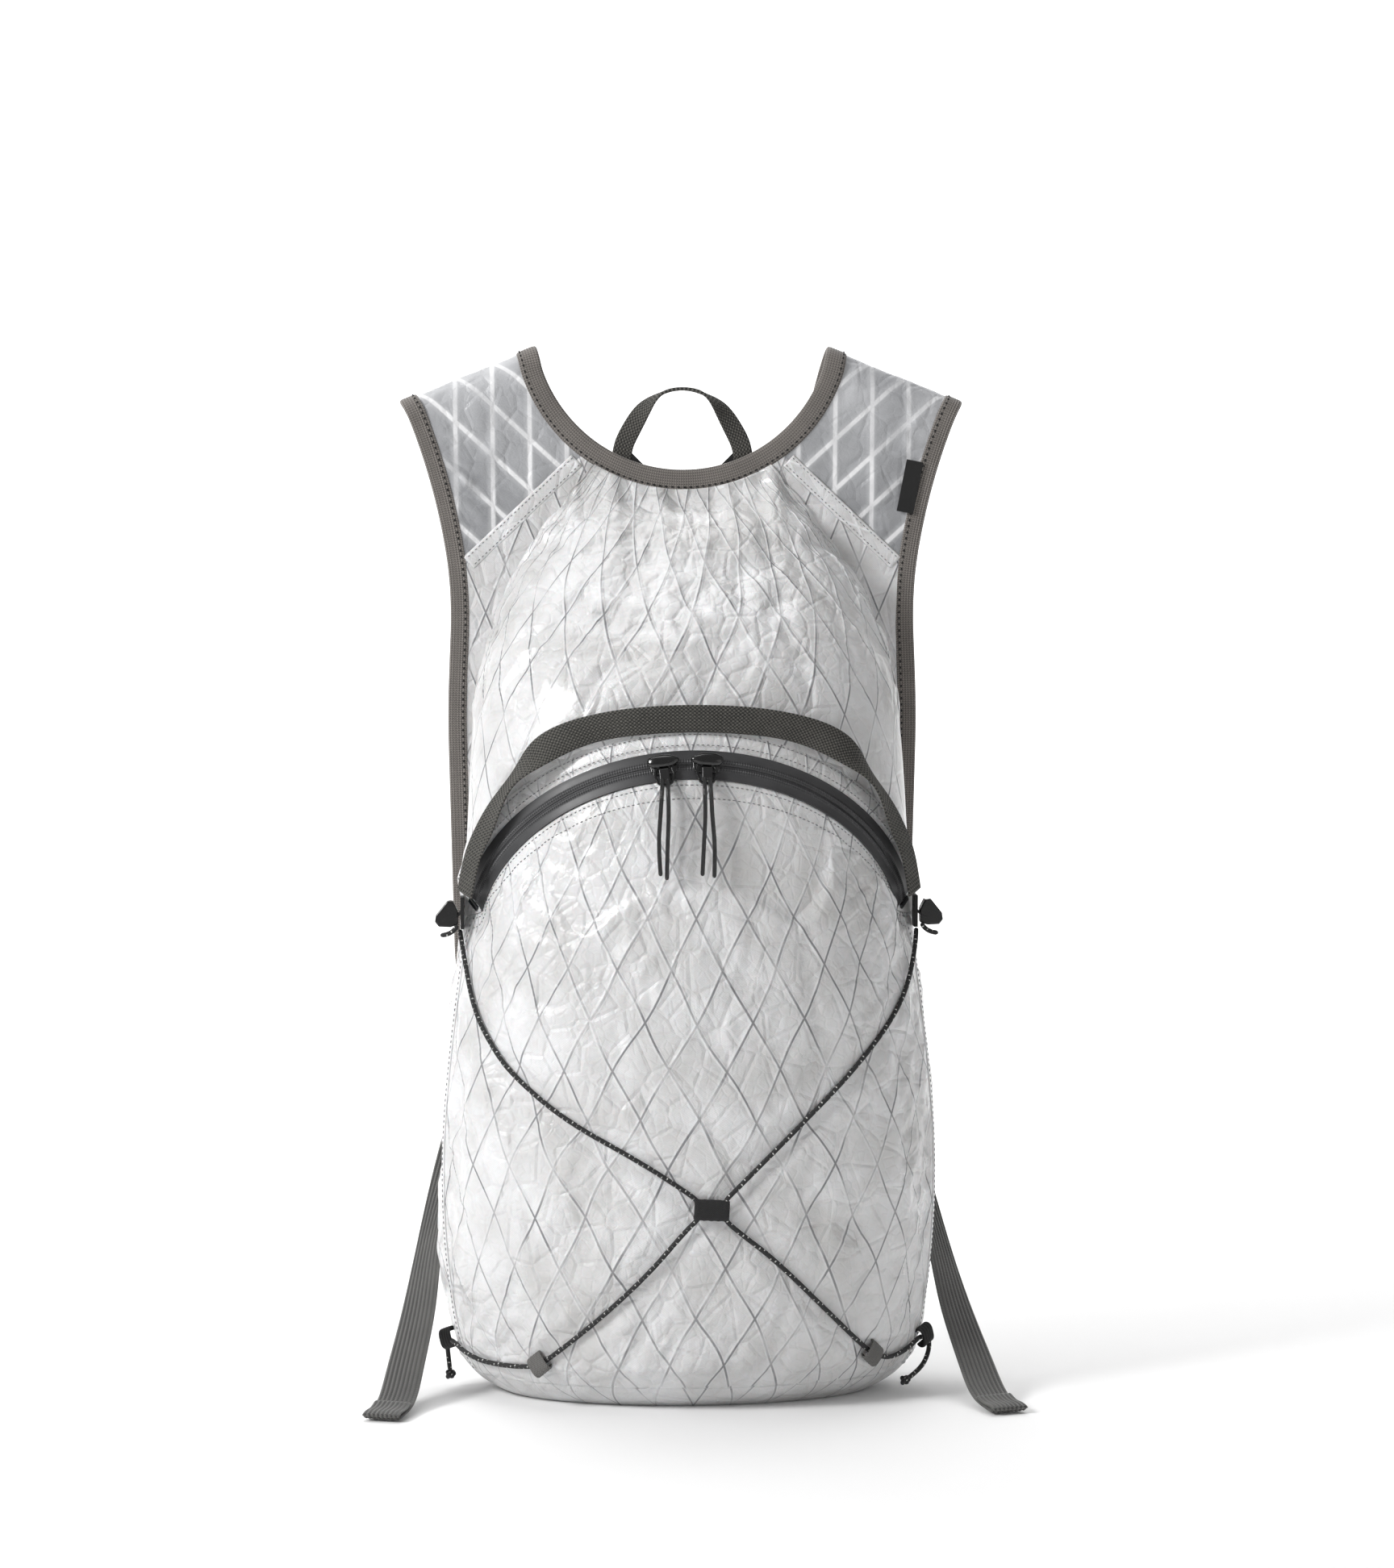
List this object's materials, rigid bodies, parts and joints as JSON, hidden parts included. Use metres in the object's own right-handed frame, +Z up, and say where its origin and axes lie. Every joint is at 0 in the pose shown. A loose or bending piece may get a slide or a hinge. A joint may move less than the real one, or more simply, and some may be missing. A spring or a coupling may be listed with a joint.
{
  "type": "daypack",
  "caption": "Lightweight vest-style daypack with an arched two-way zip, front handle, haul loop and crossed shock cords; stands upright on its base.",
  "frame": {"origin": "middle of the flat patch of the base that the bag stands on", "axes": "+Z up from the base to the shoulders, +X to the right seen from the zipped front, +Y towards the wearer's back straps; the zipped front faces -Y"},
  "size_m": [0.3392, 0.1763, 0.5509],
  "materials": {
    "laminate_white": "crinkled translucent laminate over a woven face, satin",
    "laminate_grey": "the same laminate in silver grey with a broad pale diamond grid",
    "binding_tape": "ribbed knitted tape, matte",
    "zip_laminate": "coated zipper tape, satin",
    "zip_coil": "satin",
    "gloss_black": "moulded, glossy",
    "webbing_dark": "coarse woven webbing, matte",
    "webbing_grey": "lengthwise ribbed webbing, matte",
    "shock_cord": "braided cover with pale flecks",
    "pull_cord": "smooth sheath, satin",
    "black_tape": "folded tape, matte",
    "grey_tape": "folded tape, matte"
  },
  "bodies": {
    "bag": {"front_panel": "laminate_white", "side_panel_left": "laminate_white", "side_panel_right": "laminate_white", "base_panel": "laminate_white", "gusset_strip": "laminate_white", "upper_panel": "laminate_white", "back_panel": "laminate_white", "shoulder_strap_left": "laminate_white", "shoulder_strap_right": "laminate_white", "yoke_left": "laminate_grey", "yoke_right": "laminate_grey", "neck_binding": "binding_tape", "armhole_binding_left": "binding_tape", "armhole_binding_right": "binding_tape", "strap_inner_binding_left": "binding_tape", "strap_inner_binding_right": "binding_tape", "strap_outer_binding_left": "binding_tape", "strap_outer_binding_right": "binding_tape", "zipper_tape_upper": "zip_laminate", "zipper_tape_lower": "zip_laminate", "zipper_coil_upper": "zip_coil", "zipper_coil_lower": "zip_coil", "zipper_end_stops": "zip_coil", "haul_loop_base": "webbing_dark", "handle_end_left": "webbing_dark", "handle_end_right": "webbing_dark", "lower_webbing_left": "webbing_grey", "lower_webbing_right": "webbing_grey", "lock_tab_left": "webbing_grey", "lock_tab_right": "webbing_grey", "shock_cord_left": "shock_cord", "shock_cord_right": "shock_cord", "cord_knot_left": "shock_cord", "cord_knot_right": "shock_cord", "cord_keeper": "black_tape", "label_tab": "black_tape", "corner_anchor_left": "black_tape", "corner_anchor_right": "black_tape", "adjuster_tab_left": "black_tape", "adjuster_tab_right": "black_tape", "cord_loop_left": "grey_tape", "cord_loop_right": "grey_tape"},
    "slider_left": {"slider_left": "gloss_black"},
    "pull_left": {"pull_ring_left": "gloss_black", "pull_knot_left": "pull_cord", "pull_cord_left_outer": "pull_cord", "pull_cord_left_inner": "pull_cord"},
    "slider_right": {"slider_right": "gloss_black"},
    "pull_right": {"pull_ring_right": "gloss_black", "pull_knot_right": "pull_cord", "pull_cord_right_inner": "pull_cord", "pull_cord_right_outer": "pull_cord"},
    "front_handle": {"front_handle": "webbing_dark"},
    "haul_loop": {"haul_loop": "webbing_dark"},
    "adjuster_left": {"cord_adjuster_left": "gloss_black"},
    "adjuster_right": {"cord_adjuster_right": "gloss_black"},
    "lock_left": {"ladder_lock_left": "gloss_black"},
    "lock_right": {"ladder_lock_right": "gloss_black"},
    "tail_left": {"strap_tail_left": "webbing_grey"},
    "tail_right": {"strap_tail_right": "webbing_grey"}
  },
  "joints": [
    {"name": "slider_left_run", "type": "hinge", "parent": "bag", "child": "slider_left", "pos_m": [0, -0.005, 0.2408], "axis": [0, -0.809, -0.5878], "range_deg": [0, 32]},
    {"name": "pull_left_lift", "type": "hinge", "parent": "slider_left", "child": "pull_left", "pos_m": [-0.01618, -0.07502, 0.33222], "axis": [0.9903, -0.0818, 0.1126], "range_deg": [-36, 0]},
    {"name": "slider_right_run", "type": "hinge", "parent": "bag", "child": "slider_right", "pos_m": [0, -0.005, 0.2408], "axis": [0, -0.809, -0.5878], "range_deg": [-34, 0]},
    {"name": "pull_right_lift", "type": "hinge", "parent": "slider_right", "child": "pull_right", "pos_m": [0.00568, -0.0756, 0.33302], "axis": [0.9988, 0.0287, -0.0395], "range_deg": [-36, 0]},
    {"name": "front_handle_fold", "type": "hinge", "parent": "bag", "child": "front_handle", "pos_m": [0, -0.031, 0.29], "axis": [1, 0, 0], "range_deg": [0, 60]},
    {"name": "haul_loop_fold", "type": "hinge", "parent": "bag", "child": "haul_loop", "pos_m": [0, 0.0488, 0.4945], "axis": [1, 0, 0], "range_deg": [-70, 60]},
    {"name": "adjuster_left_tilt", "type": "hinge", "parent": "bag", "child": "adjuster_left", "pos_m": [-0.1215, -0.0175, 0.251], "axis": [0, 1, 0], "range_deg": [0, 15]},
    {"name": "adjuster_right_tilt", "type": "hinge", "parent": "bag", "child": "adjuster_right", "pos_m": [0.1215, -0.0175, 0.251], "axis": [0, 1, 0], "range_deg": [-15, 0]},
    {"name": "lock_left_tilt", "type": "hinge", "parent": "bag", "child": "lock_left", "pos_m": [-0.093, 0.0776, 0.212], "axis": [1, 0, 0], "range_deg": [0, 30]},
    {"name": "lock_right_tilt", "type": "hinge", "parent": "bag", "child": "lock_right", "pos_m": [0.093, 0.0776, 0.212], "axis": [1, 0, 0], "range_deg": [0, 30]},
    {"name": "tail_left_swing", "type": "hinge", "parent": "bag", "child": "tail_left", "pos_m": [-0.095, 0.079, 0.181], "axis": [0, 1, 0], "range_deg": [0, 35]},
    {"name": "tail_right_swing", "type": "hinge", "parent": "bag", "child": "tail_right", "pos_m": [0.095, 0.079, 0.181], "axis": [0, 1, 0], "range_deg": [-35, 0]}
  ]
}
